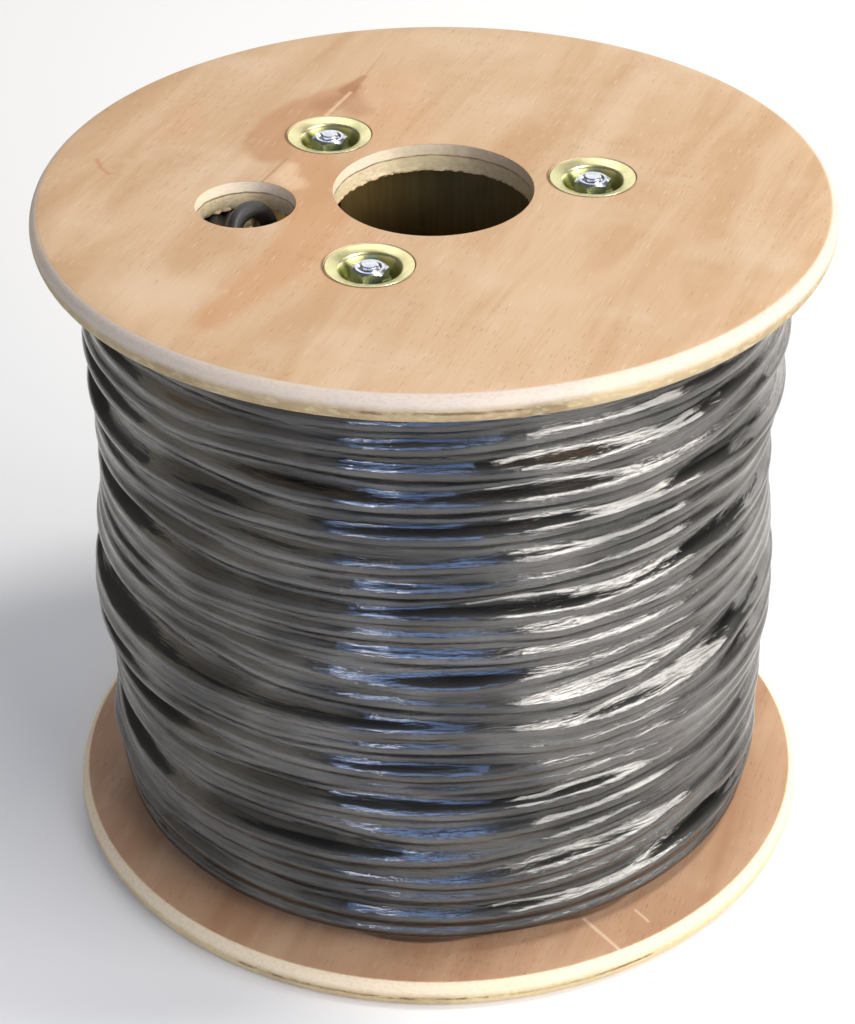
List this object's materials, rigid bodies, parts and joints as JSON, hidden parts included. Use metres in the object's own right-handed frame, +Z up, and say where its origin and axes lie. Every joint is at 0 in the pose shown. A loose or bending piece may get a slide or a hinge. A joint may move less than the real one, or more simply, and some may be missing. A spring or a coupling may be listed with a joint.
{
  "type": "wooden cable drum",
  "caption": "Small plywood drum full of round black cable under clear stretch film, with rounded flanges, a centre bore, a start hole and cup-washered tie bolts.",
  "frame": {"origin": "middle of the bottom flange's underside, on the drum's axis", "axes": "+Z up the drum's axis; +X towards the first tie bolt, with the start hole on the -X side"},
  "size_m": [0.32, 0.32, 0.2904],
  "materials": {
    "plywood": "sanded birch-faced plywood, bare, with a stain round one knot",
    "core_board": "wound kraft board tube",
    "cable_jacket": "black PVC jacket",
    "clear_film": "clear stretch film drawn tight over the turns",
    "yellow_zinc": "steel pressing, pale yellow zinc plate",
    "bright_zinc": "steel, bright zinc plate"
  },
  "bodies": {
    "root": {"top_flange": "plywood", "bottom_flange": "plywood", "barrel": "core_board", "cable_winding": "cable_jacket", "cable_inner_end": "cable_jacket", "stretch_film": "clear_film", "tie_bolt_1": "bright_zinc", "nut_1": "bright_zinc", "top_cup_washer_1": "yellow_zinc", "bottom_cup_washer_1": "yellow_zinc", "tie_bolt_2": "bright_zinc", "nut_2": "bright_zinc", "top_cup_washer_2": "yellow_zinc", "bottom_cup_washer_2": "yellow_zinc", "tie_bolt_3": "bright_zinc", "nut_3": "bright_zinc", "top_cup_washer_3": "yellow_zinc", "bottom_cup_washer_3": "yellow_zinc"}
  },
  "joints": []
}
